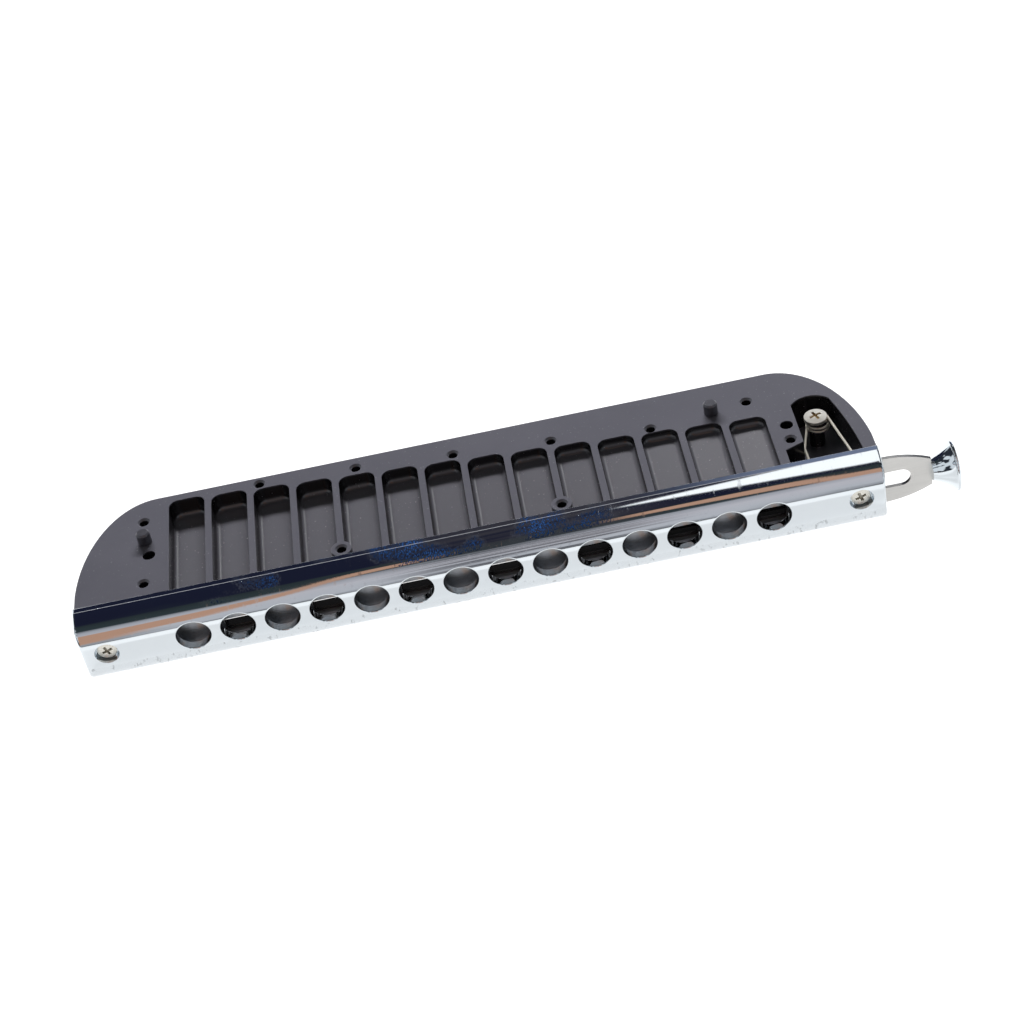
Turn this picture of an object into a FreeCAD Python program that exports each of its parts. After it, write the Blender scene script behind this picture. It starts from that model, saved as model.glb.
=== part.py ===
"""Chromatic harmonica body: comb, mouthpiece, button slide, return spring and fasteners.

Millimetres. While it is being drawn, X runs along the row of mouth holes towards the button, Y runs
back from the mouthpiece's front face, and Z is up from the level of the hole axes. The middle of
the row is X = 0. Each sub-part's Placement then moves it so that the origin is at the middle of the
bottom of the whole object's box.
"""
import FreeCAD
import Part
import Sketcher
import math
import os

SIZES = {
    # mouth holes and chambers
    "hole_count": 14,
    "hole_pitch": 9.7,
    "hole_radius": 3.7,
    "hole_rim": 0.45,
    # comb
    "comb_front": 5.85,
    "comb_rear": 43.0,
    "comb_half_thickness": 5.0,
    "comb_straight_half": 70.0,
    "comb_corner_width": 18.1,
    "comb_corner_depth": 31.5,
    "chamber_width": 8.2,
    "chamber_front": 8.0,
    "chamber_corner": 2.2,
    "chamber_floor_fillet": 1.2,
    "first_chamber_rear": 40.9,
    "chamber_rear_step": 0.946,
    "first_chamber_depth": 4.5,
    "chamber_depth_step": 0.22,
    "least_chamber_depth": 1.9,
    "window_width": 6.8,
    "window_rail": 0.8,
    "thread_radius": 1.0,
    "countersink_radius": 1.45,
    "countersink_depth": 0.45,
    "plain_hole_radius": 1.45,
    "plain_hole_y": 23.6,
    "left_plain_hole_x": -71.6,
    "right_plain_hole_x": 71.2,
    "rib_boss_radius": 2.3,
    "pin_radius": 1.55,
    "pin_height": 2.85,
    "pin_chamfer": 0.35,
    "pin_shank_radius": 1.2,
    "pin_shank_length": 4.0,
    # spring pocket in the comb
    "pocket_left": 73.5,
    "pocket_front_left": 69.2,
    "pocket_nose_rear": 16.9,
    "pocket_nose_front": 15.2,
    "pocket_rear_corner": 30.0,
    "pocket_rear_right": 82.1,
    "pocket_rear_radius": 5.35,
    "pocket_right": 85.1,
    "pocket_right_front": 11.4,
    "pocket_right_radius": 95.0,
    "pocket_depth": 8.2,
    "pocket_shelf_depth": 2.5,
    "pocket_shelf_rear": 13.5,
    # mouthpiece
    "lip_half_length": 88.0,
    "front_half_length": 87.2,
    "end_rounding": 0.7,
    "mouth_half_height": 7.1,
    "mouth_depth": 8.8,
    "front_corner": 2.4,
    "lip_slope_start": 6.8,
    "lip_half_height": 6.9,
    "front_wall": 2.25,
    "cell_half_height": 5.4,
    "leg_inside": 6.05,
    "bar_depth": 4.45,
    # slide, backing plate and bumpers
    "slide_front": 4.5,
    "slide_thickness": 0.8,
    "slide_half_height": 6.0,
    "slide_travel": 9.7,
    "slide_left": -78.3,
    "slide_window_width": 6.9,
    "slide_window_low": 1.0,
    "slide_window_high": 5.0,
    "slot_radius": 2.15,
    "tongue_shoulder": 87.7,
    "tongue_end": 98.2,
    "tongue_end_half_height": 3.5,
    "tongue_radius": 23.3,
    "tab_half_height": 1.6,
    "tab_length": 2.6,
    "hook_hole_x": 84.2,
    "hook_hole_radius": 0.5,
    "plate_front": 5.35,
    "plate_half_length": 87.3,
    "plate_half_height": 5.9,
    "notch_left": 70.5,
    "notch_right": 85.6,
    "notch_low": 2.4,
    "bumper_radius": 2.05,
    "bumper_bore": 1.05,
    # button
    "button_hub_radius": 2.65,
    "button_face": 103.4,
    "button_rim_radius": 5.55,
    "button_rim_width": 0.8,
    "button_flare_radius": 8.0,
    "button_crown": 0.35,
    # screws
    "mouth_screw_x": 81.9,
    "mouth_screw_recess": 0.8,
    "mouth_screw_head_radius": 2.12,
    "mouth_screw_head_height": 1.4,
    "mouth_screw_length": 9.2,
    "counterbore_radius": 2.65,
    "clearance_hole_radius": 1.1,
    "shank_radius": 0.98,
    "spring_screw_x": 78.0,
    "spring_screw_y": 25.4,
    "spring_screw_top": 4.7,
    "spring_screw_head_radius": 2.55,
    "spring_screw_head_height": 1.1,
    "spring_screw_length": 5.4,
    "spring_post_radius": 1.7,
    "screw_crown": 0.25,
    "cross_half_width": 0.3,
    "cross_depth": 0.7,
    # return spring
    "wire_radius": 0.3,
    "coil_radius": 2.4,
    "coil_x": 78.35,
    "coil_pitch": 0.9,
    "coil_top": 3.2,
    "hook_tip_y": 4.55,
    "rest_leg_x": 73.95,
    "rest_leg_bend_y": 19.0,
    "rest_leg_tip_y": 14.0,
}

# Threaded holes through the comb for the reed-plate screws: along the rear edge, at the two ends
# and, on ribs widened to a boss, just behind the mouthpiece.
REAR_THREADS = [(-46.3, 40.8), (-24.2, 39.5), (-2.1, 37.2), (20.0, 34.9), (42.2, 32.0), (64.4, 34.6)]
END_THREADS = [(-72.9, 35.5), (-72.8, 14.5), (71.0, 18.6)]
RIB_THREADS = [(-29.1, 12.7), (19.4, 12.7)]
PINS = {"left": (-72.45, 28.5), "right": (56.2, 33.2)}

SPARE = 1.0

# The spring's coil is made of equal pieces of helix, this many to a turn. A slightly larger ball than
# the wire, by this factor, joins wires that meet at an angle.
COIL_PIECES_PER_TURN = 4
JOINT_BALL = 1.1

doc = FreeCAD.newDocument("harmonica_body")
sheet = doc.addObject("Spreadsheet::Sheet", "Sizes")
for row, (alias, size) in enumerate(SIZES.items(), start=1):
    sheet.set(f"A{row}", alias)
    sheet.set(f"B{row}", str(size))
    sheet.setAlias(f"B{row}", alias)
doc.recompute()

# From the drawing's origin to the middle of the bottom of the whole object's box, which runs from the
# mouthpiece's left end to the button's face, from the button's rim to the comb's rear edge, and
# between the tips of the locating pins.
SHIFT_X = "-(Sizes.button_face + Sizes.button_crown - Sizes.lip_half_length) / 2"
SHIFT_Y = "-(Sizes.comb_rear + Sizes.slide_front + Sizes.slide_thickness / 2 - Sizes.button_rim_radius) / 2"
SHIFT_Z = "Sizes.comb_half_thickness + Sizes.pin_height"


def number(expression):
    """The value of an expression in the sheet's cells."""
    return float(sheet.evalExpression(str(expression)))


def bind(thing, **properties):
    """Bind properties to expressions; a double underscore in a name stands for a dot."""
    for name, expression in properties.items():
        thing.setExpression(name.replace("__", "."), str(expression))


def place(thing, x="0", y="0", z="0"):
    """Put a primitive's corner or centre at a point."""
    bind(thing, Placement__Base__x=x, Placement__Base__y=y, Placement__Base__z=z)


def finish(thing, label, x="0", y="0", z="0"):
    """Name a finished sub-part and move it into the object's frame."""
    thing.Label = label
    place(thing, f"{x} + {SHIFT_X}", f"{y} + {SHIFT_Y}", f"{z} + {SHIFT_Z}")
    sub_parts.append(thing)


def box(name, left, right, front, rear, low, high):
    thing = doc.addObject("Part::Box", name)
    bind(thing, Length=f"({right}) - ({left})", Width=f"({rear}) - ({front})", Height=f"({high}) - ({low})")
    place(thing, left, front, low)
    return thing


def upright_cylinder(name, x, y, low, high, radius):
    thing = doc.addObject("Part::Cylinder", name)
    bind(thing, Radius=radius, Height=f"({high}) - ({low})")
    place(thing, x, y, low)
    return thing


def fuse(name, pieces):
    thing = doc.addObject("Part::MultiFuse", name)
    thing.Shapes = pieces
    return thing


def cut(name, base, tool):
    thing = doc.addObject("Part::Cut", name)
    thing.Base = base
    thing.Tool = tool
    return thing


def fillet_edges(name, base, rules):
    """Round the edges of base that each (test, radius) rule picks, with a Part::Fillet."""
    doc.recompute()
    edges = []
    for index, edge in enumerate(base.Shape.Edges, start=1):
        for test, radius in rules:
            if test(edge.CenterOfMass, edge.tangentAt(edge.FirstParameter)):
                edges.append((index, number(radius), number(radius)))
    thing = doc.addObject("Part::Fillet", name)
    thing.Base = base
    thing.Edges = edges
    return thing


def new_body(name):
    return doc.addObject("PartDesign::Body", name)


def origin_feature(body, role):
    return next(feature for feature in body.Origin.OriginFeatures if feature.Role == role)


def new_sketch(body, name, role, offset="0"):
    """A sketch on one of the body's origin planes, moved along that plane's normal.

    The XZ plane's normal is -Y, so a sketch for the plane Y = depth has the offset -depth.
    """
    sketch = body.newObject("Sketcher::SketchObject", name)
    sketch.AttachmentSupport = [(origin_feature(body, role), "")]
    sketch.MapMode = "FlatFace"
    bind(sketch, AttachmentOffset__Base__z=offset)
    return sketch


def constrain(sketch, expression, kind, *where):
    """Add a dimension to a sketch and bind it to an expression."""
    index = sketch.addConstraint(Sketcher.Constraint(kind, *where, number(expression)))
    sketch.setExpression(f"Constraints[{index}]", str(expression))


def add_circle(sketch, x, y, radius):
    centre = FreeCAD.Vector(number(x), number(y), 0)
    circle = sketch.addGeometry(Part.Circle(centre, FreeCAD.Vector(0, 0, 1), number(radius)), False)
    constrain(sketch, radius, "Radius", circle)
    constrain(sketch, x, "DistanceX", -1, 1, circle, 3)
    constrain(sketch, y, "DistanceY", -1, 1, circle, 3)


def arc_between(start, end, radius):
    """The short arc from start to end. A positive radius bends it left of the chord, anticlockwise."""
    chord = end - start
    middle = (start + end) / 2
    left = FreeCAD.Vector(-chord.y, chord.x, 0).normalize()
    rise = math.sqrt(max(radius * radius - (chord.Length / 2) ** 2, 0.0))
    centre = middle + left * math.copysign(rise, radius)
    first, last = (start, end) if radius > 0 else (end, start)
    first_angle = math.atan2(first.y - centre.y, first.x - centre.x)
    last_angle = math.atan2(last.y - centre.y, last.x - centre.x)
    circle = Part.Circle(centre, FreeCAD.Vector(0, 0, 1), abs(radius))
    return Part.ArcOfCircle(circle, first_angle, last_angle)


def add_outline(sketch, corners):
    """A closed outline. Each corner is (x, y), or (x, y, radius) where an arc leads to it."""
    points = [FreeCAD.Vector(number(corner[0]), number(corner[1]), 0) for corner in corners]
    runs = []
    for index, corner in enumerate(corners):
        start = points[index - 1]
        end = points[index]
        if len(corner) == 3:
            radius = number(corner[2])
            run = sketch.addGeometry(arc_between(start, end, radius), False)
            runs.append((run, 1, 2) if radius > 0 else (run, 2, 1))
        else:
            run = sketch.addGeometry(Part.LineSegment(start, end), False)
            runs.append((run, 1, 2))
    for index, corner in enumerate(corners):
        run, first_end, last_end = runs[index]
        before, _, before_last = runs[index - 1]
        sketch.addConstraint(Sketcher.Constraint("Coincident", before, before_last, run, first_end))
        constrain(sketch, corner[0], "DistanceX", -1, 1, run, last_end)
        constrain(sketch, corner[1], "DistanceY", -1, 1, run, last_end)
        if len(corner) == 3:
            constrain(sketch, f"abs({corner[2]})", "Radius", run)


def add_rectangle(sketch, left, right, low, high):
    add_outline(sketch, [(left, low), (right, low), (right, high), (left, high)])


def pad(body, sketch, length, reverse=False):
    feature = body.newObject("PartDesign::Pad", f"{sketch.Name}_pad")
    feature.Profile = sketch
    feature.Reversed = reverse
    bind(feature, Length=length)
    return feature


def pocket(body, sketch, length, reverse=False, both_ways=False):
    feature = body.newObject("PartDesign::Pocket", f"{sketch.Name}_pocket")
    feature.Profile = sketch
    feature.Reversed = reverse
    feature.SideType = "Symmetric" if both_ways else "One side"
    bind(feature, Length=length)
    return feature


def revolve(body, sketch, axis):
    feature = body.newObject("PartDesign::Revolution", f"{sketch.Name}_revolution")
    feature.Profile = sketch
    feature.ReferenceAxis = (sketch, [axis])
    feature.Angle = 360.0
    return feature


def pattern_along_x(body, name, originals, length, count):
    feature = body.newObject("PartDesign::LinearPattern", name)
    feature.Originals = originals
    feature.Direction = (origin_feature(body, "X_Axis"), [""])
    bind(feature, Length=length, Occurrences=count)
    body.Tip = feature
    return feature


sub_parts = []
first_hole = "(1 - Sizes.hole_count) / 2 * Sizes.hole_pitch"


# Comb: a plate with quarter-ellipse rear corners, fourteen chambers milled from each face.

comb_bottom = "-Sizes.comb_half_thickness"
comb_top = "Sizes.comb_half_thickness"


def corner_block(name, x):
    """A full elliptical slab; the comb keeps the quarter of it that rounds a rear corner."""
    ellipse = doc.addObject("Part::Ellipse", f"{name}_outline")
    bind(ellipse, MajorRadius="Sizes.comb_corner_depth", MinorRadius="Sizes.comb_corner_width")
    ellipse.Placement.Rotation = FreeCAD.Rotation(FreeCAD.Vector(0, 0, 1), 90)
    place(ellipse, x, "Sizes.comb_rear - Sizes.comb_corner_depth", comb_bottom)
    slab = doc.addObject("Part::Extrusion", name)
    slab.Base = ellipse
    slab.Dir = FreeCAD.Vector(0, 0, 1)
    slab.Solid = True
    bind(slab, LengthFwd="2 * Sizes.comb_half_thickness")
    return slab


def chamber_cutter(index):
    """One upper chamber with its window to the front face, open above the comb."""
    centre = f"({first_hole} + {index} * Sizes.hole_pitch)"
    depth = f"max(Sizes.first_chamber_depth - {index} * Sizes.chamber_depth_step; Sizes.least_chamber_depth)"
    floor = f"Sizes.comb_half_thickness - {depth}"
    rear = f"Sizes.first_chamber_rear - {index} * Sizes.chamber_rear_step"
    half = "Sizes.chamber_width / 2"
    block = box(f"chamber_{index + 1}_block", f"{centre} - {half}", f"{centre} + {half}",
                "Sizes.chamber_front", rear, floor, f"{comb_top} + {SPARE}")
    rear_y = number(rear)
    floor_z = number(floor)
    chamber = fillet_edges(f"chamber_{index + 1}", block, [
        (lambda at, way: abs(way.z) > 0.5 and at.y > rear_y - 0.1, "Sizes.chamber_corner"),
        (lambda at, way: abs(way.z) < 0.5 and at.z < floor_z + 0.1
            and at.y > number("Sizes.chamber_front") + 0.1, "Sizes.chamber_floor_fillet"),
    ])
    window = box(f"window_{index + 1}",
                 f"{centre} - Sizes.window_width / 2", f"{centre} + Sizes.window_width / 2",
                 f"Sizes.comb_front - {SPARE}", f"Sizes.chamber_front + {SPARE}",
                 floor, f"{comb_top} - Sizes.window_rail")
    return [chamber, window]


def threaded_hole(name, x, y):
    """A through hole with a countersunk mouth at both faces."""
    hole = upright_cylinder(name, x, y, comb_bottom, comb_top, "Sizes.thread_radius")
    top_mouth = doc.addObject("Part::Cone", f"{name}_top_mouth")
    bind(top_mouth, Radius1="Sizes.thread_radius", Radius2="Sizes.countersink_radius",
         Height="Sizes.countersink_depth")
    place(top_mouth, x, y, f"{comb_top} - Sizes.countersink_depth")
    bottom_mouth = doc.addObject("Part::Cone", f"{name}_bottom_mouth")
    bind(bottom_mouth, Radius1="Sizes.countersink_radius", Radius2="Sizes.thread_radius",
         Height="Sizes.countersink_depth")
    place(bottom_mouth, x, y, comb_bottom)
    return [hole, top_mouth, bottom_mouth]


def spring_pocket():
    """The deep pocket for the coil, with a shallow shelf in front that the spring's legs cross."""
    outline = doc.addObject("Sketcher::SketchObject", "spring_pocket_outline")
    bind(outline, Placement__Base__z="Sizes.comb_half_thickness - Sizes.pocket_depth")
    front = f"Sizes.comb_front - {SPARE}"
    add_outline(outline, [
        ("Sizes.pocket_front_left", front),
        ("Sizes.pocket_right", front),
        ("Sizes.pocket_right", "Sizes.pocket_right_front"),
        ("Sizes.pocket_rear_right", "Sizes.pocket_rear_corner", "Sizes.pocket_right_radius"),
        ("Sizes.pocket_left", "Sizes.pocket_rear_corner", "Sizes.pocket_rear_radius"),
        ("Sizes.pocket_left", "Sizes.pocket_nose_rear"),
        ("Sizes.pocket_front_left", "Sizes.pocket_nose_front"),
    ])
    deep = doc.addObject("Part::Extrusion", "spring_pocket_full")
    deep.Base = outline
    deep.Dir = FreeCAD.Vector(0, 0, 1)
    deep.Solid = True
    bind(deep, LengthFwd=f"Sizes.pocket_depth + {SPARE}")
    shelf = box("spring_pocket_shelf", "Sizes.pocket_front_left - 1", "Sizes.pocket_right + 1",
                f"Sizes.comb_front - 2 * {SPARE}", "Sizes.pocket_shelf_rear",
                comb_bottom, f"{comb_top} - Sizes.pocket_shelf_depth")
    post = upright_cylinder("spring_post", "Sizes.spring_screw_x", "Sizes.spring_screw_y",
                            comb_bottom, "Sizes.spring_screw_top - Sizes.spring_screw_head_height",
                            "Sizes.spring_post_radius")
    return cut("spring_pocket", deep, fuse("spring_pocket_islands", [shelf, post]))


def front_screw_hole(name, x):
    hole = doc.addObject("Part::Cylinder", name)
    bind(hole, Radius="Sizes.thread_radius", Height="Sizes.mouth_screw_length")
    hole.Placement.Rotation = FreeCAD.Rotation(FreeCAD.Vector(1, 0, 0), -90)
    place(hole, x, "Sizes.comb_front - 1", "0")
    return hole


def make_comb():
    slab = fuse("comb_slab", [
        box("comb_middle", "-Sizes.comb_straight_half", "Sizes.comb_straight_half",
            "Sizes.comb_front", "Sizes.comb_rear", comb_bottom, comb_top),
        corner_block("comb_left_corner", "-Sizes.comb_straight_half"),
        corner_block("comb_right_corner", "Sizes.comb_straight_half"),
    ])
    bounds = box("comb_bounds", "-Sizes.lip_half_length", "Sizes.lip_half_length",
                 "Sizes.comb_front", "Sizes.comb_rear + 1", comb_bottom, comb_top)
    blank = doc.addObject("Part::Common", "comb_blank")
    blank.Base = slab
    blank.Tool = bounds

    cutters = []
    for index in range(SIZES["hole_count"]):
        cutters += chamber_cutter(index)
    upper = fuse("upper_chambers", cutters)
    lower = doc.addObject("Part::Mirroring", "lower_chambers")
    lower.Source = upper
    lower.Normal = FreeCAD.Vector(0, 0, 1)
    chambered = cut("comb_chambered", blank, fuse("chambers", [upper, lower]))

    bosses = [upright_cylinder(f"rib_boss_{place}", x, y, comb_bottom, comb_top, "Sizes.rib_boss_radius")
              for place, (x, y) in enumerate(RIB_THREADS, start=1)]
    bossed = fuse("comb_bossed", [chambered] + bosses)

    holes = []
    for count, (x, y) in enumerate(REAR_THREADS + END_THREADS + RIB_THREADS, start=1):
        holes += threaded_hole(f"thread_{count}", x, y)
    for side in ("left", "right"):
        holes.append(upright_cylinder(f"{side}_plain_hole",
                                      f"Sizes.{side}_plain_hole_x", "Sizes.plain_hole_y",
                                      comb_bottom, comb_top, "Sizes.plain_hole_radius"))
    for side, (x, y) in PINS.items():
        for face, sign in (("upper", ""), ("lower", "-")):
            ends = [f"{sign}({comb_top} - Sizes.pin_shank_length)", f"{sign}{comb_top}"]
            low, high = sorted(ends, key=number)
            holes.append(upright_cylinder(f"{face}_{side}_pin_hole", x, y, low, high,
                                          "Sizes.pin_shank_radius"))
    spring_thread = upright_cylinder("spring_screw_hole", "Sizes.spring_screw_x", "Sizes.spring_screw_y",
                                     "Sizes.spring_screw_top - Sizes.spring_screw_length - 1",
                                     comb_top, "Sizes.thread_radius")
    holes += [spring_thread, spring_pocket()]
    holes.append(front_screw_hole("left_front_thread", "-Sizes.mouth_screw_x"))
    holes.append(front_screw_hole("right_front_thread", "Sizes.mouth_screw_x"))
    finish(cut("comb_finished", bossed, fuse("comb_holes", holes)), "comb")


# Mouthpiece: a chromed bar with a cell behind each round hole and two lips that clasp the comb.

def round_mouth_ends(body):
    """Round the outer edges of the two end faces, from lip to lip round the front."""
    doc.recompute()
    tapered = body.Tip
    end = number("Sizes.front_half_length") - 0.01
    lip_top = number("Sizes.lip_half_height") - 0.01
    names = []
    for index, edge in enumerate(tapered.Shape.Edges, start=1):
        middle = edge.CenterOfMass
        at_end = all(abs(vertex.Point.x) > end for vertex in edge.Vertexes)
        outside = middle.y < number("Sizes.front_corner") or abs(middle.z) > lip_top
        if at_end and outside:
            names.append(f"Edge{index}")
    rounding = body.newObject("PartDesign::Fillet", "end_rounding")
    rounding.Base = (tapered, names)
    bind(rounding, Radius="Sizes.end_rounding")


def make_mouthpiece():
    body = new_body("mouthpiece_body")
    section = new_sketch(body, "mouth_section", "YZ_Plane", "-Sizes.lip_half_length")
    height = "Sizes.mouth_half_height"
    corner = "Sizes.front_corner"
    add_outline(section, [
        ("0", f"-{height} + {corner}"),
        (corner, f"-{height}", corner),
        ("Sizes.lip_slope_start", f"-{height}"),
        ("Sizes.mouth_depth", "-Sizes.lip_half_height"),
        ("Sizes.mouth_depth", "-Sizes.leg_inside"),
        ("Sizes.bar_depth", "-Sizes.leg_inside"),
        ("Sizes.bar_depth", "Sizes.leg_inside"),
        ("Sizes.mouth_depth", "Sizes.leg_inside"),
        ("Sizes.mouth_depth", "Sizes.lip_half_height"),
        ("Sizes.lip_slope_start", height),
        (corner, height),
        ("0", f"{height} - {corner}", corner),
    ])
    pad(body, section, "2 * Sizes.lip_half_length")

    for side, sign in (("left", "-"), ("right", "")):
        taper = new_sketch(body, f"{side}_end_taper", "XY_Plane")
        add_outline(taper, [
            (f"{sign}Sizes.lip_half_length", "Sizes.mouth_depth"),
            (f"{sign}(Sizes.lip_half_length + 5)", "Sizes.mouth_depth"),
            (f"{sign}(Sizes.lip_half_length + 5)", "-1"),
            (f"{sign}Sizes.front_half_length", "-1"),
            (f"{sign}Sizes.front_half_length", "0"),
        ])
        pocket(body, taper, "4 * Sizes.mouth_half_height", both_ways=True)
    round_mouth_ends(body)

    bore = new_sketch(body, "mouth_bore", "XY_Plane")
    add_outline(bore, [
        (f"{first_hole}", "-1"),
        (f"{first_hole}", "Sizes.front_wall + 1"),
        (f"{first_hole} + Sizes.hole_radius", "Sizes.front_wall + 1"),
        (f"{first_hole} + Sizes.hole_radius", "Sizes.hole_rim"),
        (f"{first_hole} + Sizes.hole_radius + Sizes.hole_rim", "0", "Sizes.hole_rim"),
        (f"{first_hole} + Sizes.hole_radius + Sizes.hole_rim", "-1"),
    ])
    groove = body.newObject("PartDesign::Groove", "mouth_hole")
    groove.Profile = bore
    groove.ReferenceAxis = (bore, ["Edge2"])
    groove.Angle = 360.0
    cell = new_sketch(body, "cell", "XZ_Plane", "-Sizes.bar_depth")
    add_rectangle(cell, f"{first_hole} - Sizes.chamber_width / 2", f"{first_hole} + Sizes.chamber_width / 2",
                  "-Sizes.cell_half_height", "Sizes.cell_half_height")
    cell_cut = pocket(body, cell, "Sizes.bar_depth - Sizes.front_wall", reverse=True)
    pattern_along_x(body, "mouth_row", [groove, cell_cut],
                    "(Sizes.hole_count - 1) * Sizes.hole_pitch", "Sizes.hole_count")

    head_seat = new_sketch(body, "screw_counterbores", "XZ_Plane")
    shank_holes = new_sketch(body, "screw_clearance_holes", "XZ_Plane")
    for sign in ("-", ""):
        add_circle(head_seat, f"{sign}Sizes.mouth_screw_x", "0", "Sizes.counterbore_radius")
        add_circle(shank_holes, f"{sign}Sizes.mouth_screw_x", "0", "Sizes.clearance_hole_radius")
    pocket(body, head_seat, "Sizes.mouth_screw_recess + Sizes.mouth_screw_head_height")
    pocket(body, shank_holes, "Sizes.bar_depth + 1")
    finish(body, "mouthpiece")


# Slide: a checkerboard of windows, one hole pitch of travel, forked at the left, slotted at the right.

def make_slide():
    body = new_body("slide_body")
    outline = new_sketch(body, "slide_outline", "XZ_Plane", "-Sizes.slide_front")
    half = "Sizes.slide_half_height"
    fork_root = "-Sizes.mouth_screw_x + Sizes.slide_travel"
    add_outline(outline, [
        ("Sizes.slide_left", f"-{half}"),
        ("Sizes.tongue_shoulder", f"-{half}"),
        ("Sizes.tongue_end", "-Sizes.tongue_end_half_height", "Sizes.tongue_radius"),
        ("Sizes.tongue_end", "-Sizes.tab_half_height"),
        ("Sizes.tongue_end + Sizes.tab_length", "-Sizes.tab_half_height"),
        ("Sizes.tongue_end + Sizes.tab_length", "Sizes.tab_half_height"),
        ("Sizes.tongue_end", "Sizes.tab_half_height"),
        ("Sizes.tongue_end", "Sizes.tongue_end_half_height"),
        ("Sizes.tongue_shoulder", half, "Sizes.tongue_radius"),
        ("Sizes.slide_left", half),
        ("Sizes.slide_left", "Sizes.slot_radius"),
        (fork_root, "Sizes.slot_radius"),
        (f"{fork_root} + Sizes.slot_radius", "0", "-Sizes.slot_radius"),
        (fork_root, "-Sizes.slot_radius", "-Sizes.slot_radius"),
        ("Sizes.slide_left", "-Sizes.slot_radius"),
    ])
    pad(body, outline, "Sizes.slide_thickness", reverse=True)

    slot = new_sketch(body, "slide_slot", "XZ_Plane", "-Sizes.slide_front")
    slot_left = "Sizes.mouth_screw_x"
    slot_right = "Sizes.mouth_screw_x + Sizes.slide_travel"
    add_outline(slot, [
        (slot_right, "-Sizes.slot_radius"),
        (f"{slot_right} + Sizes.slot_radius", "0", "Sizes.slot_radius"),
        (slot_right, "Sizes.slot_radius", "Sizes.slot_radius"),
        (slot_left, "Sizes.slot_radius"),
        (f"{slot_left} - Sizes.slot_radius", "0", "Sizes.slot_radius"),
        (slot_left, "-Sizes.slot_radius", "Sizes.slot_radius"),
    ])
    pocket(body, slot, "Sizes.slide_thickness")
    hook = new_sketch(body, "slide_hook_hole", "XZ_Plane", "-Sizes.slide_front")
    add_circle(hook, "Sizes.hook_hole_x", "Sizes.coil_top", "Sizes.hook_hole_radius")
    pocket(body, hook, "Sizes.slide_thickness")

    half_window = "Sizes.slide_window_width / 2"
    upper = new_sketch(body, "slide_upper_window", "XZ_Plane", "-Sizes.slide_front")
    add_rectangle(upper, f"{first_hole} - {half_window}", f"{first_hole} + {half_window}",
                  "Sizes.slide_window_low", "Sizes.slide_window_high")
    upper_cut = pocket(body, upper, "Sizes.slide_thickness")
    pattern_along_x(body, "slide_upper_row", [upper_cut],
                    "Sizes.hole_count * Sizes.hole_pitch", "Sizes.hole_count / 2 + 1")
    second_hole = f"({first_hole} + Sizes.hole_pitch)"
    lower = new_sketch(body, "slide_lower_window", "XZ_Plane", "-Sizes.slide_front")
    add_rectangle(lower, f"{second_hole} - {half_window}", f"{second_hole} + {half_window}",
                  "-Sizes.slide_window_high", "-Sizes.slide_window_low")
    lower_cut = pocket(body, lower, "Sizes.slide_thickness")
    pattern_along_x(body, "slide_lower_row", [lower_cut],
                    "(Sizes.hole_count - 2) * Sizes.hole_pitch", "Sizes.hole_count / 2")
    finish(body, "slide")


def make_back_plate():
    """The fixed plate behind the slide, with a window above and below for every hole."""
    body = new_body("back_plate_body")
    offset = "-Sizes.plate_front"
    thickness = "Sizes.comb_front - Sizes.plate_front"
    outline = new_sketch(body, "plate_outline", "XZ_Plane", offset)
    length = "Sizes.plate_half_length"
    height = "Sizes.plate_half_height"
    add_outline(outline, [
        (f"-{length}", f"-{height}"),
        (length, f"-{height}"),
        (length, height),
        ("Sizes.notch_right", height),
        ("Sizes.notch_right", "Sizes.notch_low"),
        ("Sizes.notch_left", "Sizes.notch_low"),
        ("Sizes.notch_left", height),
        (f"-{length}", height),
    ])
    pad(body, outline, thickness, reverse=True)
    holes = new_sketch(body, "plate_screw_holes", "XZ_Plane", offset)
    for sign in ("-", ""):
        add_circle(holes, f"{sign}Sizes.mouth_screw_x", "0", "Sizes.clearance_hole_radius")
    pocket(body, holes, thickness)
    half_window = "Sizes.slide_window_width / 2"
    windows = new_sketch(body, "plate_windows", "XZ_Plane", offset)
    for low, high in (("Sizes.slide_window_low", "Sizes.slide_window_high"),
                      ("-Sizes.slide_window_high", "-Sizes.slide_window_low")):
        add_rectangle(windows, f"{first_hole} - {half_window}", f"{first_hole} + {half_window}", low, high)
    windows_cut = pocket(body, windows, thickness)
    pattern_along_x(body, "plate_window_row", [windows_cut],
                    "(Sizes.hole_count - 1) * Sizes.hole_pitch", "Sizes.hole_count")
    finish(body, "slide_back_plate")


def make_button():
    """A trumpet-shaped knob on the X axis, with a slit in its hub for the slide's tab."""
    body = new_body("button_body")
    hub = "Sizes.button_hub_radius"
    face = "Sizes.button_face"
    rim = "Sizes.button_rim_radius"
    profile = new_sketch(body, "button_profile", "XY_Plane")
    add_outline(profile, [
        ("Sizes.tongue_end", "0"),
        (face + " + Sizes.button_crown", "0"),
        (face, f"{rim} - Sizes.button_rim_width / 2", "20"),
        (f"{face} - Sizes.button_rim_width", f"{rim} - Sizes.button_rim_width / 2",
         "Sizes.button_rim_width / 2"),
        ("Sizes.tongue_end + 0.8", hub, "-Sizes.button_flare_radius"),
        ("Sizes.tongue_end", f"{hub} - 0.4"),
    ])
    revolve(body, profile, "H_Axis")
    slit = new_sketch(body, "button_slit", "XZ_Plane")
    add_rectangle(slit, "Sizes.tongue_end - 1", "Sizes.tongue_end + Sizes.tab_length",
                  "-Sizes.tab_half_height", "Sizes.tab_half_height")
    pocket(body, slit, "Sizes.slide_thickness", both_ways=True)
    finish(body, "slide_button", y="(Sizes.slide_front + Sizes.slide_thickness / 2)")


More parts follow.
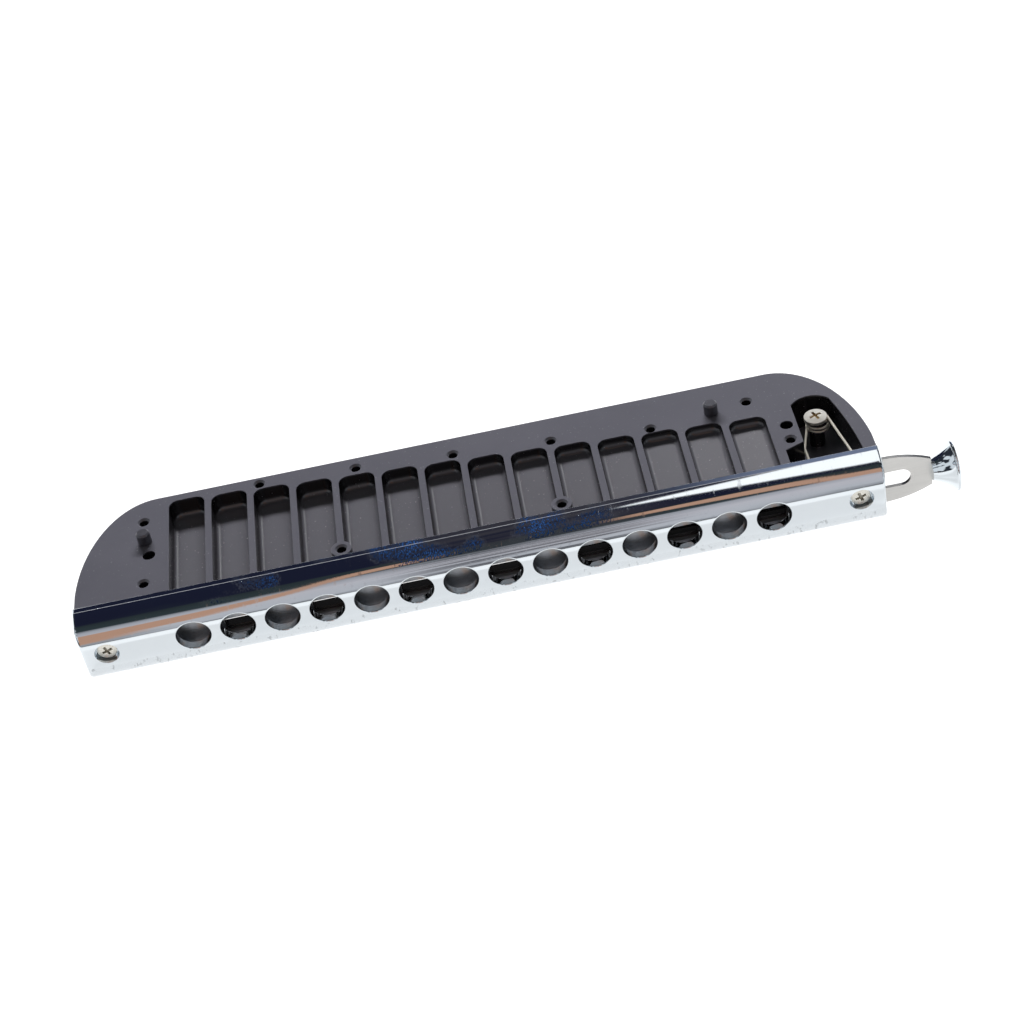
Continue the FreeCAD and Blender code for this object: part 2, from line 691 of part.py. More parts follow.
def make_screw(label, prefix, turn):
    """A crowned cross-head screw, drawn with its head's top at Z = 0 and its shank downwards."""
    body = new_body(f"{label}_body")
    head = f"Sizes.{prefix}_head_radius"
    head_height = f"Sizes.{prefix}_head_height"
    crown = "Sizes.screw_crown"
    profile = new_sketch(body, f"{label}_profile", "XZ_Plane")
    add_outline(profile, [
        ("0", f"-Sizes.{prefix}_length"),
        ("Sizes.shank_radius - 0.4", f"-Sizes.{prefix}_length"),
        ("Sizes.shank_radius", f"0.4 - Sizes.{prefix}_length"),
        ("Sizes.shank_radius", f"-{head_height}"),
        (head, f"-{head_height}"),
        (head, f"-{crown} - 0.1"),
        ("0", "0", "12"),
    ])
    revolve(body, profile, "V_Axis")
    arm = f"{head} * 0.56"
    width = "Sizes.cross_half_width"
    cross = new_sketch(body, f"{label}_cross", "XY_Plane")
    add_outline(cross, [
        (arm, width), (width, width), (width, arm), (f"-{width}", arm),
        (f"-{width}", width), (f"-{arm}", width), (f"-{arm}", f"-{width}"), (f"-{width}", f"-{width}"),
        (f"-{width}", f"-{arm}"), (width, f"-{arm}"), (width, f"-{width}"), (arm, f"-{width}"),
    ])
    pocket(body, cross, "Sizes.cross_depth")
    body.Placement.Rotation = turn
    return body


def make_screws():
    facing_front = FreeCAD.Rotation(FreeCAD.Vector(1, 0, 0), 90)
    quarter_off = FreeCAD.Rotation(FreeCAD.Vector(0, 0, 1), 20)
    for side, sign in (("left", "-"), ("right", "")):
        screw = make_screw(f"{side}_mouthpiece_screw", "mouth_screw", facing_front.multiply(quarter_off))
        finish(screw, f"{side}_mouthpiece_screw",
               f"{sign}Sizes.mouth_screw_x", "Sizes.mouth_screw_recess", "0")
    spring_screw = make_screw("spring_screw", "spring_screw", quarter_off)
    finish(spring_screw, "spring_screw",
           "Sizes.spring_screw_x", "Sizes.spring_screw_y", "Sizes.spring_screw_top")


def make_bumpers():
    """A rubber sleeve round each mouthpiece screw, where it passes the slide."""
    for side, sign in (("left", "-"), ("right", "")):
        body = new_body(f"{side}_bumper_body")
        ring = new_sketch(body, f"{side}_bumper_ring", "XZ_Plane", "-Sizes.slide_front")
        add_circle(ring, "0", "0", "Sizes.bumper_radius")
        add_circle(ring, "0", "0", "Sizes.bumper_bore")
        pad(body, ring, "Sizes.slide_thickness", reverse=True)
        finish(body, f"{side}_slide_bumper", f"{sign}Sizes.mouth_screw_x")


def make_pins():
    """Shouldered pins pressed into both faces of the comb."""
    upside_down = FreeCAD.Rotation(FreeCAD.Vector(1, 0, 0), 180)
    for face, sign, turn in (("upper", "", FreeCAD.Rotation()), ("lower", "-", upside_down)):
        for side, (x, y) in PINS.items():
            label = f"{face}_{side}_locating_pin"
            body = new_body(f"{label}_body")
            profile = new_sketch(body, f"{label}_profile", "XZ_Plane")
            add_outline(profile, [
                ("0", "-Sizes.pin_shank_length"),
                ("Sizes.pin_shank_radius", "-Sizes.pin_shank_length"),
                ("Sizes.pin_shank_radius", "0"),
                ("Sizes.pin_radius", "0"),
                ("Sizes.pin_radius", "Sizes.pin_height - Sizes.pin_chamfer"),
                ("Sizes.pin_radius - Sizes.pin_chamfer", "Sizes.pin_height"),
                ("0", "Sizes.pin_height"),
            ])
            revolve(body, profile, "V_Axis")
            body.Placement.Rotation = turn
            finish(body, label, str(x), str(y), f"{sign}{comb_top}")


# Return spring: a torsion spring whose coil sits on the post and whose long leg hooks the slide.

def straight_wire(start, end, radius):
    along = end - start
    return Part.makeCylinder(radius, along.Length, start, along)


def helix_piece(coil_radius, pitch, turn, radius):
    """A left-handed piece of coil that starts on the X axis and climbs round the Z axis."""
    path = Part.makeHelix(pitch, pitch * turn, coil_radius, 0, True)
    edge = path.Edges[0]
    start = edge.FirstParameter
    section = Part.Wire(Part.makeCircle(radius, edge.valueAt(start), edge.tangentAt(start)))
    return Part.Wire(path.Edges).makePipeShell([section], True, True)


def make_spring():
    wire = number("Sizes.wire_radius")
    radius = number("Sizes.coil_radius")
    pitch = number("Sizes.coil_pitch")
    top = number("Sizes.coil_top")
    centre = FreeCAD.Vector(number("Sizes.coil_x"), number("Sizes.spring_screw_y"), 0)
    hook = FreeCAD.Vector(number("Sizes.hook_hole_x"), number("Sizes.hook_tip_y"), top)

    def tangent_angle(point, side):
        """Where the coil's circle is touched by a line from point; side -1 is the left of the coil."""
        away = point - FreeCAD.Vector(centre.x, centre.y, point.z)
        spread = math.acos(radius / away.Length)
        return math.atan2(away.y, away.x) + side * spread

    def on_coil(angle, level):
        return FreeCAD.Vector(centre.x + radius * math.cos(angle),
                              centre.y + radius * math.sin(angle), level)

    bend = FreeCAD.Vector(number("Sizes.rest_leg_x"), number("Sizes.rest_leg_bend_y"), 0)
    end_angle = tangent_angle(hook, 1)
    start_angle = tangent_angle(bend, -1) + 2 * math.pi
    turns = (start_angle - end_angle) / (2 * math.pi) + 2
    bottom = top - pitch * turns
    bend.z = bottom
    tip = FreeCAD.Vector(bend.x, number("Sizes.rest_leg_tip_y"), bottom)

    count = round(COIL_PIECES_PER_TURN * turns)
    first_piece = helix_piece(radius, pitch, turns / count, wire)
    wires = []
    for index in range(count):
        piece = first_piece.copy()
        turned = start_angle - 2 * math.pi * turns * index / count
        piece.rotate(FreeCAD.Vector(), FreeCAD.Vector(0, 0, 1), math.degrees(turned))
        piece.translate(centre + FreeCAD.Vector(0, 0, bottom + pitch * turns * index / count))
        wires.append(piece)
    wires.append(straight_wire(hook, on_coil(end_angle, top), wire))
    wires.append(straight_wire(bend, on_coil(start_angle, bottom), wire))
    wires.append(straight_wire(tip, bend, wire))
    corners = (on_coil(end_angle, top), on_coil(start_angle, bottom), bend)
    joints = [Part.makeSphere(JOINT_BALL * wire, corner) for corner in corners]
    spring = doc.addObject("Part::Feature", "spring_feature")
    spring.Shape = wires[0].multiFuse(wires[1:] + joints)
    finish(spring, "slide_spring")


make_comb()
make_mouthpiece()
make_slide()
make_back_plate()
make_button()
make_screws()
make_bumpers()
make_pins()
make_spring()
doc.recompute()

for thing in doc.Objects:
    if "Invalid" in thing.State or "Error" in thing.State:
        raise RuntimeError(f"{thing.Name} did not build: {thing.State}")

os.makedirs("parts", exist_ok=True)
for thing in sub_parts:
    shape = thing.Shape
    if shape.isNull() or not shape.isValid() or len(shape.Solids) != 1:
        raise RuntimeError(f"{thing.Label} is not one valid solid")
    shape.exportStep(f"parts/{thing.Label}.step")
    extent = shape.optimalBoundingBox(False)
    print(f"{thing.Label}: {shape.Volume:.1f} mm3,"
          f" x {extent.XMin:.2f} to {extent.XMax:.2f}, y {extent.YMin:.2f} to {extent.YMax:.2f},"
          f" z {extent.ZMin:.2f} to {extent.ZMax:.2f}")
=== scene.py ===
"""Looks for the chromatic harmonica body: camera, studio, finishes and the smooth spring wire.

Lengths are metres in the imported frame: X along the row of holes, Y away from the player, Z up.
"""
import math

import bpy
from mathutils import Matrix, Vector


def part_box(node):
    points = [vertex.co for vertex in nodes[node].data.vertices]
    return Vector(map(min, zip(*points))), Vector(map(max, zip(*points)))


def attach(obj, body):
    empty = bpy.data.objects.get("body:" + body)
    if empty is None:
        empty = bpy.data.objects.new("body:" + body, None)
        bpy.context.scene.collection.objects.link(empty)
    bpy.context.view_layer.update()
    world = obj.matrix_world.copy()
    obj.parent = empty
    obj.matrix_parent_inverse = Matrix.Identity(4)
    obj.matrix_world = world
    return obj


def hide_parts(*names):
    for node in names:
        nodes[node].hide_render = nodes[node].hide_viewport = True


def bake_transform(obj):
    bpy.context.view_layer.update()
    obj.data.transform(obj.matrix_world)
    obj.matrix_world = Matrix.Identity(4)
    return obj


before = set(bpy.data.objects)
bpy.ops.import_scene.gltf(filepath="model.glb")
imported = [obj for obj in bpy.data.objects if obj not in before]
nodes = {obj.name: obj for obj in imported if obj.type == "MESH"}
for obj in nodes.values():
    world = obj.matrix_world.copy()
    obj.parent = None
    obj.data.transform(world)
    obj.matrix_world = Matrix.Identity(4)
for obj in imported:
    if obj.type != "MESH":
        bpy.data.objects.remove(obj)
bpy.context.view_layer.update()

MM = 0.001

# ---------------------------------------------------------------- driving values

CAMERA_PLACE = Vector((5.925, -370.745, 314.94)) * MM
CAMERA_AZIMUTH = math.radians(0.826)
CAMERA_DROP = math.radians(39.78)
CAMERA_ROLL = math.radians(-12.085)
CAMERA_LENS = 76.96
SENSOR_WIDTH = 36.0

FLOOR_HALF = 3.0
FLOOR_GLOW = 1.0

# Softboxes that shine at the origin: place, size and power in watts.
REAR_SOFTBOX = ((0.0, 0.80, 0.62), (0.8, 0.16), 20.0)
OVERHEAD_SOFTBOX = ((0.0, 0.1, 1.0), (1.2, 0.8), 1.5)

# Places that the finishes need, from the frame.
mouth_low, mouth_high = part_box("mouthpiece")
MOUTH_FRONT = mouth_low[1]
MOUTH_REAR = mouth_high[1]
MOUTH_LEFT = mouth_low[0]
MOUTH_RIGHT = mouth_high[0]
MOUTH_AXIS = (mouth_low[2] + mouth_high[2]) / 2
MOUTH_HALF = (mouth_high[2] - mouth_low[2]) / 2
comb_low, comb_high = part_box("comb")
COMB_MIDDLE = (comb_low[2] + comb_high[2]) / 2
COMB_HALF = (comb_high[2] - comb_low[2]) / 2
FRONT_ROUNDING = 2.4 * MM
LIP_SLOPE = 6.8 * MM

# How far the front's normal tilts, as (share of the half height, rise per unit forward), and the
# tilt at each side of the lip's top.
FACE_LEAN = [(0.0, 0.0), (0.11, 0.0), (0.66, 0.51), (0.775, 0.33), (0.92, 0.22), (1.0, 0.0)]
LIP_CROWN = 0.044

# Radii that the shading gives to sharp edges.
SOFT_EDGE = 0.12 * MM
PLATED_EDGE = 0.10 * MM
STRIP_EDGE = 0.06 * MM

SPRING_WIRE = 0.3 * MM
SPRING_RADIUS = 2.4 * MM
SPRING_PITCH = 0.9 * MM
SPRING_CENTRE = Vector((70.475, 4.225, 0)) * MM
SPRING_TOP = 11.05 * MM
SPRING_HOOK = Vector((76.325, -16.625, 11.05)) * MM
SPRING_BEND = Vector((66.075, -2.175, 0)) * MM
SPRING_TIP_Y = -7.175 * MM


# ---------------------------------------------------------------- node helpers

class Graph:
    """A material or world node tree with short calls for the nodes that this file uses."""

    def __init__(self, tree):
        self.tree = tree

    def new(self, kind, **values):
        node = self.tree.nodes.new(kind)
        for name, value in values.items():
            setattr(node, name, value)
        return node

    def put(self, socket, value):
        """Links a socket to another socket, or sets it to a plain value."""
        if isinstance(value, bpy.types.NodeSocket):
            self.tree.links.new(value, socket)
        elif value is not None:
            socket.default_value = value

    def math(self, operation, a, b=None, c=None, clamp=False):
        node = self.new("ShaderNodeMath", operation=operation, use_clamp=clamp)
        for socket, value in zip(node.inputs, (a, b, c)):
            self.put(socket, value)
        return node.outputs[0]

    def spread(self, value, low, high, kind="LINEAR"):
        """0 at low and 1 at high, and straight in between."""
        node = self.new("ShaderNodeMapRange", interpolation_type=kind)
        for name, item in (("Value", value), ("From Min", low), ("From Max", high)):
            self.put(node.inputs[name], item)
        return node.outputs[0]

    def smooth(self, value, low, high):
        """0 below low, 1 above high and a smooth step in between."""
        return self.spread(value, low, high, "SMOOTHSTEP")

    def band(self, value, low, high, soft):
        """1 between low and high, with edges of width soft."""
        rise = self.smooth(value, low - soft / 2, low + soft / 2)
        fall = self.smooth(value, high - soft / 2, high + soft / 2)
        return self.math("SUBTRACT", rise, fall, clamp=True)

    def mix(self, factor, a, b):
        node = self.new("ShaderNodeMix", data_type="RGBA")
        self.put(node.inputs["Factor"], factor)
        self.put(node.inputs[6], a)
        self.put(node.inputs[7], b)
        return node.outputs[2]

    def noise(self, vector, scale, detail=2.0, rough=0.5, stretch=None):
        if stretch is not None:
            mapping = self.new("ShaderNodeMapping")
            self.put(mapping.inputs["Vector"], vector)
            mapping.inputs["Scale"].default_value = stretch
            vector = mapping.outputs[0]
        node = self.new("ShaderNodeTexNoise")
        self.put(node.inputs["Vector"], vector)
        node.inputs["Scale"].default_value = scale
        node.inputs["Detail"].default_value = detail
        node.inputs["Roughness"].default_value = rough
        return node.outputs["Fac"]

    def ramp(self, factor, stops):
        node = self.new("ShaderNodeValToRGB")
        self.put(node.inputs["Fac"], factor)
        ramp = node.color_ramp
        ramp.interpolation = "LINEAR"
        while len(ramp.elements) < len(stops):
            ramp.elements.new(0.5)
        for element, (place, colour) in zip(ramp.elements, stops):
            element.position = place
            element.color = colour
        return node.outputs["Color"]

    def vector(self, operation, a, b=None):
        """Vector arithmetic; DOT_PRODUCT gives a number."""
        node = self.new("ShaderNodeVectorMath", operation=operation)
        self.put(node.inputs[0], a)
        self.put(node.inputs[1], b)
        return node.outputs["Value" if operation == "DOT_PRODUCT" else "Vector"]

    def combine(self, x, y, z):
        node = self.new("ShaderNodeCombineXYZ")
        for socket, value in zip(node.inputs, (x, y, z)):
            self.put(socket, value)
        return node.outputs[0]

    def curve(self, value, points, low=0.0, high=1.0):
        """A number that follows (place, height) points joined by a smooth line."""
        node = self.new("ShaderNodeFloatCurve")
        self.put(node.inputs["Value"], self.spread(value, low, high))
        profile = node.mapping.curves[0]
        while len(profile.points) < len(points):
            profile.points.new(0.5, 0.5)
        for point, (place, height) in zip(profile.points, points):
            point.location = ((place - low) / (high - low), height)
            point.handle_type = "AUTO_CLAMPED"
        node.mapping.update()
        return node.outputs[0]

    def round_edges(self, radius):
        """The surface's normal as if its sharp edges were broken by this radius."""
        node = self.new("ShaderNodeBevel", samples=4)
        node.inputs["Radius"].default_value = radius
        return node.outputs[0]

    def edge_mask(self, rounded):
        """1 on the broken edges that round_edges makes, 0 on the faces."""
        true_normal = self.new("ShaderNodeNewGeometry").outputs["Normal"]
        kept = self.vector("DOT_PRODUCT", rounded, true_normal)
        return self.math("SUBTRACT", 1.0, self.smooth(kept, 0.80, 0.985), clamp=True)

    def split(self, vector):
        node = self.new("ShaderNodeSeparateXYZ")
        self.put(node.inputs[0], vector)
        return node.outputs

    def bump(self, height, strength, distance, normal=None):
        node = self.new("ShaderNodeBump")
        node.inputs["Strength"].default_value = strength
        node.inputs["Distance"].default_value = distance
        self.put(node.inputs["Height"], height)
        self.put(node.inputs["Normal"], normal)
        return node.outputs[0]


def rgb(red, green, blue):
    return (red, green, blue, 1.0)


def new_material(name):
    """A material with one Principled shader: returns it with its graph, shader and coordinates."""
    material = bpy.data.materials.new(name)
    material.use_nodes = True
    graph = Graph(material.node_tree)
    shader = material.node_tree.nodes["Principled BSDF"]
    coordinates = graph.new("ShaderNodeTexCoord").outputs["Object"]
    return material, graph, shader, coordinates


def dress(material, *names):
    """Puts a material on CAD nodes, in place of what they came with."""
    for name in names:
        slots = nodes[name].data.materials
        slots.clear()
        slots.append(material)


# ---------------------------------------------------------------- finishes

def comb_anodised():
    """Dark satin anodising with fine tool marks along X and dust, with painted light: edges painted
    brighter as a highlight, pockets painted darker and the band under the mouthpiece lip painted nearly
    black as shade.
    """
    material, graph, shader, place = new_material("comb_anodised")
    depth, height = graph.split(place)[1:3]
    tool_marks = graph.noise(place, 900.0, 3.0, 0.6, stretch=(0.06, 1.0, 1.0))
    cloud = graph.noise(place, 45.0, 4.0, 0.6)
    dust = graph.smooth(graph.noise(place, 2600.0, 1.0, 0.4), 0.745, 0.78)
    rounded = graph.round_edges(SOFT_EDGE)
    tone = graph.mix(cloud, rgb(0.086, 0.086, 0.104), rgb(0.118, 0.117, 0.139))
    off_middle = graph.math("ABSOLUTE", graph.math("SUBTRACT", height, COMB_MIDDLE))
    on_top = graph.smooth(off_middle, COMB_HALF - 0.5 * MM, COMB_HALF - 0.15 * MM)
    # Painted shade: below the top face the comb is painted darker, and walls that face sideways nearly
    # black.
    level_face = graph.smooth(graph.math("ABSOLUTE", graph.split(rounded)[2]), 0.35, 0.9)
    pocket_painted_shade = graph.mix(level_face, rgb(0.022, 0.021, 0.025), rgb(0.100, 0.098, 0.112))
    tone = graph.mix(on_top, pocket_painted_shade, tone)
    # Painted highlight: the broken edges are painted lighter.
    tone = graph.mix(graph.math("MULTIPLY", graph.edge_mask(rounded), 0.45), tone, rgb(0.36, 0.36, 0.40))
    tone = graph.mix(graph.math("MULTIPLY", dust, 0.5), tone, rgb(0.42, 0.42, 0.44))
    # Painted shade: the comb under the mouthpiece lip is painted nearly black.
    unshaded_behind_lip = graph.smooth(depth, MOUTH_REAR - 1.0 * MM, MOUTH_REAR + 0.5 * MM)
    tone = graph.mix(unshaded_behind_lip, rgb(0.006, 0.005, 0.006), tone)
    graph.put(shader.inputs["Base Color"], tone)
    shader.inputs["Metallic"].default_value = 0.1
    shader.inputs["IOR"].default_value = 1.6
    rough = graph.math("MULTIPLY_ADD", cloud, 0.08, graph.math("MULTIPLY_ADD", on_top, 0.24, 0.15))
    graph.put(shader.inputs["Roughness"], graph.math("MULTIPLY_ADD", dust, 0.3, rough))
    relief = graph.math("MULTIPLY_ADD", tool_marks, 0.6, graph.math("MULTIPLY", dust, 1.5))
    graph.put(shader.inputs["Normal"], graph.bump(relief, 0.10, 0.03 * MM, rounded))
    return material


def chrome_surface(graph, place, shader, normal, residue, smears_and_painted_highlight):
    """Chromium's colour, fine scratches and smears; residue is deep blue specks, taken for dried
    polish, and the last argument is where the plating is painted dull and grey: real finger smears on the
    button, painted highlight lines on the mouthpiece."""
    scratches = graph.noise(place, 1400.0, 2.0, 0.5, stretch=(1.0, 0.12, 0.5))
    cloud = graph.noise(place, 60.0, 3.0, 0.55)
    fine = graph.smooth(scratches, 0.60, 0.72)
    tone = graph.mix(cloud, rgb(0.62, 0.665, 0.70), rgb(0.68, 0.72, 0.75))
    tone = graph.mix(graph.smooth(residue, 0.0, 0.15), tone, rgb(0.03, 0.10, 0.30))
    graph.put(shader.inputs["Base Color"], graph.mix(smears_and_painted_highlight, tone, rgb(0.42, 0.43, 0.48)))
    matt = graph.math("ADD", residue, smears_and_painted_highlight)
    graph.put(shader.inputs["Metallic"], graph.math("SUBTRACT", 1.0, matt, clamp=True))
    rough = graph.math("MULTIPLY_ADD", cloud, 0.03, 0.03)
    graph.put(shader.inputs["Roughness"], graph.math("MULTIPLY_ADD", fine, 0.08, rough))
    height = graph.math("MULTIPLY_ADD", scratches, 0.4, graph.math("MULTIPLY", cloud, 0.25))
    graph.put(shader.inputs["Normal"], graph.bump(height, 0.08, 0.03 * MM, normal))


def mouthpiece_chrome():
    """Chromed bar whose lip has blue specks, taken for dried polish, and thin lines painted dull grey as
    painted highlights.

    Its front is flat in the CAD. FACE_LEAN tilts the normal there, by up to 27 degrees, so that it
    reflects as a rounded face does. This is shading only: the mesh and the outline stay flat."""
    material, graph, shader, place = new_material("mouthpiece_chrome")
    side, depth, height = graph.split(place)
    rounded = graph.round_edges(PLATED_EDGE)
    forward, upward = graph.split(rounded)[1:3]
    level = graph.math("DIVIDE", graph.math("SUBTRACT", height, MOUTH_AXIS), MOUTH_HALF)
    lean = graph.curve(graph.math("ABSOLUTE", level), FACE_LEAN)
    lean = graph.math("MULTIPLY", lean, graph.smooth(graph.math("MULTIPLY", forward, -1.0), 0.0, 0.3))
    lean = graph.math("MULTIPLY", lean, graph.math("SIGN", level))
    flat = graph.smooth(graph.math("ABSOLUTE", upward), 0.85, 0.99)
    across = graph.spread(depth, MOUTH_FRONT + FRONT_ROUNDING, MOUTH_FRONT + LIP_SLOPE)
    crown = graph.math("MULTIPLY_ADD", across, 2 * LIP_CROWN, -LIP_CROWN)
    crown = graph.math("MULTIPLY", crown, flat)
    crowned = graph.vector("ADD", rounded, graph.combine(0.0, crown, lean))
    clusters = graph.smooth(graph.noise(place, 75.0, 2.0, 0.5), 0.47, 0.68)
    specks = graph.smooth(graph.noise(place, 3400.0, 3.0, 0.65, stretch=(1.0, 0.4, 1.0)), 0.45, 0.64)
    unpolished = graph.band(side, MOUTH_LEFT + 22 * MM, MOUTH_RIGHT - 62 * MM, 12 * MM)
    lip_top = graph.smooth(height, MOUTH_AXIS + MOUTH_HALF - 0.5 * MM, MOUTH_AXIS + MOUTH_HALF - 0.25 * MM)
    residue = graph.math("MULTIPLY", graph.math("MULTIPLY", clusters, specks),
                         graph.math("MULTIPLY", unpolished, lip_top))
    # Painted highlight: thin dull grey lines along the lip's rear edge and along the crease where the lip's
    # slope begins.
    rear_edge_highlight = graph.smooth(depth, MOUTH_REAR - 0.34 * MM, MOUTH_REAR - 0.22 * MM)
    lip_line = MOUTH_FRONT + LIP_SLOPE
    crease_highlight = graph.band(depth, lip_line - 0.06 * MM, lip_line + 0.10 * MM, 0.08 * MM)
    smears_and_painted_highlight = graph.math("MULTIPLY", graph.math("MULTIPLY_ADD", crease_highlight, 0.6, rear_edge_highlight, clamp=True), flat)
    chrome_surface(graph, place, shader, graph.vector("NORMALIZE", crowned),
                   graph.math("MULTIPLY", residue, 0.85), smears_and_painted_highlight)
    return material


def button_chrome():
    """Turned and chromed button, a little smeared by fingers."""
    material, graph, shader, place = new_material("button_chrome")
    smears = graph.smooth(graph.noise(place, 420.0, 3.0, 0.6), 0.62, 0.74)
    chrome_surface(graph, place, shader, graph.round_edges(PLATED_EDGE),
                   0.0, graph.math("MULTIPLY", smears, 0.05))
    return material


def brushed_steel(name, tone, rough, painted_shade_tone=None):
    """Stainless strip brushed along X; the optional last tone is painted shade: a darker colour where the
    strip lies inside the mouthpiece.
    """
    material, graph, shader, place = new_material(name)
    brushing = graph.noise(place, 1500.0, 4.0, 0.65, stretch=(0.05, 1.0, 1.0))
    cloud = graph.noise(place, 120.0, 3.0, 0.5)
    dark = rgb(*(0.80 * part for part in tone))
    colour = graph.mix(brushing, dark, rgb(*tone))
    colour = graph.mix(graph.math("MULTIPLY", cloud, 0.3), colour, dark)
    if painted_shade_tone is not None:
        # Painted shade: the strip is painted darker where it lies inside the mouthpiece.
        outside = graph.smooth(graph.split(place)[0], MOUTH_RIGHT - 3 * MM, MOUTH_RIGHT - 1 * MM)
        colour = graph.mix(outside, rgb(*painted_shade_tone), colour)
    graph.put(shader.inputs["Base Color"], colour)
    shader.inputs["Metallic"].default_value = 1.0
    graph.put(shader.inputs["Roughness"], graph.math("MULTIPLY_ADD", brushing, 0.14, rough))
    graph.put(shader.inputs["Normal"], graph.bump(brushing, 0.16, 0.03 * MM, graph.round_edges(STRIP_EDGE)))
    return material


def screw_nickel(node, axis, recess_tone):
    """Nickel-coloured screw: satin head with fine grain, and a darker tone in the cross recess.

    axis is 1 for a screw that faces the player and 2 for one that faces up."""
    low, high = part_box(node)
    material, graph, shader, place = new_material(f"{node}_nickel")
    parts = graph.split(place)
    face, sign = (low[1], 1.0) if axis == 1 else (high[2], -1.0)
    sunk = graph.math("MULTIPLY", graph.math("SUBTRACT", parts[axis], face), sign)
    middle = [(a + b) / 2 for a, b in zip(low, high)]
    middle[axis] = face
    mask = [1.0, 1.0, 1.0]
    mask[axis] = 0.0
    radial = graph.vector("MULTIPLY", graph.vector("SUBTRACT", place, tuple(middle)), tuple(mask))
    reach = graph.math("SQRT", graph.vector("DOT_PRODUCT", radial, radial))
    inside = graph.math("SUBTRACT", 1.0, graph.smooth(reach, 1.5 * MM, 1.7 * MM), clamp=True)
    # Darker, less metallic tone in the cross recess.
    recess_mask = graph.math("MULTIPLY", graph.smooth(sunk, 0.22 * MM, 0.45 * MM), inside)
    grain = graph.noise(place, 2200.0, 3.0, 0.6)
    dull = graph.noise(place, 500.0, 3.0, 0.5)
    clean = graph.mix(dull, rgb(0.74, 0.72, 0.65), rgb(0.88, 0.86, 0.79))
    graph.put(shader.inputs["Base Color"], graph.mix(recess_mask, clean, rgb(*recess_tone)))
    graph.put(shader.inputs["Metallic"], graph.math("MULTIPLY_ADD", recess_mask, -0.4, 0.55))
    graph.put(shader.inputs["Roughness"], graph.math("MULTIPLY_ADD", dull, 0.2, 0.30))
    graph.put(shader.inputs["Normal"], graph.bump(grain, 0.15, 0.02 * MM, graph.round_edges(PLATED_EDGE)))
    return material


def bumper_rubber():
    """Grey rubber sleeve."""
    material, graph, shader, place = new_material("bumper_rubber")
    grain = graph.noise(place, 1800.0, 4.0, 0.6)
    graph.put(shader.inputs["Base Color"], graph.mix(grain, rgb(0.16, 0.16, 0.16), rgb(0.24, 0.24, 0.235)))
    graph.put(shader.inputs["Roughness"], graph.math("MULTIPLY_ADD", grain, 0.2, 0.55))
    graph.put(shader.inputs["Normal"], graph.bump(grain, 0.2, 0.03 * MM))
    return material


def spring_wire():
    """Bright drawn wire, faintly yellow."""
    material, graph, shader, place = new_material("spring_wire")
    lines = graph.noise(place, 3000.0, 3.0, 0.6)
    graph.put(shader.inputs["Base Color"], graph.mix(lines, rgb(0.70, 0.66, 0.56), rgb(0.90, 0.87, 0.78)))
    shader.inputs["Metallic"].default_value = 0.45
    graph.put(shader.inputs["Roughness"], graph.math("MULTIPLY_ADD", lines, 0.12, 0.3))
    graph.put(shader.inputs["Normal"], graph.bump(lines, 0.1, 0.02 * MM))
    return material


def pin_black():
    """Black pins whose edges are painted slightly lighter, as a painted highlight."""
    material, graph, shader, place = new_material("pin_black")
    grain = graph.noise(place, 1500.0, 4.0, 0.6)
    rounded = graph.round_edges(SOFT_EDGE)
    tone = graph.mix(grain, rgb(0.080, 0.080, 0.092), rgb(0.130, 0.130, 0.150))
    # Painted highlight: edges painted lighter.
    graph.put(shader.inputs["Base Color"], graph.mix(graph.edge_mask(rounded), tone, rgb(0.26, 0.26, 0.29)))
    shader.inputs["Metallic"].default_value = 0.5
    graph.put(shader.inputs["Roughness"], graph.math("MULTIPLY_ADD", grain, 0.2, 0.25))
    graph.put(shader.inputs["Normal"], graph.bump(grain, 0.12, 0.03 * MM, rounded))
    return material


# ---------------------------------------------------------------- pieces

def shade_by_angle(name, angle=32):
    """Smooth shading on curved faces, with creases kept sharp, and the CAD's own points untouched."""
    piece = nodes[name]
    mesh = piece.data
    limit = math.radians(angle)
    for polygon in mesh.polygons:
        polygon.use_smooth = True
    faces_of = {}
    for polygon in mesh.polygons:
        for key in polygon.edge_keys:
            faces_of.setdefault(key, []).append(polygon.normal.copy())
    for edge in mesh.edges:
        normals = faces_of.get(edge.key, [])
        edge.use_edge_sharp = len(normals) != 2 or normals[0].angle(normals[1], 0.0) > limit


def weigh_normals(name):
    """Large flat faces decide the shading at the points that they share with small ones."""
    modifier = nodes[name].modifiers.new("weighted_normals", "WEIGHTED_NORMAL")
    modifier.keep_sharp = True


def tube(name, path, radius, sides=14):
    """A round wire along a path of points, with closed ends and smooth sides."""
    rings = []
    across = None
    for index, point in enumerate(path):
        ahead = (path[min(index + 1, len(path) - 1)] - path[max(index - 1, 0)]).normalized()
        if across is None:
            across = ahead.orthogonal()
        across = (across - ahead * across.dot(ahead)).normalized()
        other = ahead.cross(across)
        turns = (2 * math.pi * side / sides for side in range(sides))
        rings.append([point + radius * (math.cos(turn) * across + math.sin(turn) * other)
                      for turn in turns])
    points = [point for ring in rings for point in ring]
    faces = []
    for start in range(0, len(points) - sides, sides):
        for side in range(sides):
            ahead_side = (side + 1) % sides
            faces.append((start + side, start + ahead_side,
                          start + sides + ahead_side, start + sides + side))
    faces.append(tuple(reversed(range(sides))))
    faces.append(tuple(range(len(points) - sides, len(points))))
    mesh = bpy.data.meshes.new(name)
    mesh.from_pydata([tuple(point) for point in points], [], faces)
    for polygon in mesh.polygons:
        polygon.use_smooth = len(polygon.vertices) == 4
    wire = bpy.data.objects.new(name, mesh)
    bpy.context.scene.collection.objects.link(wire)
    return wire


def line(start, end, step=0.4 * MM):
    """Points from start to just before end."""
    count = max(2, round((end - start).length / step))
    return [start.lerp(end, index / count) for index in range(count)]


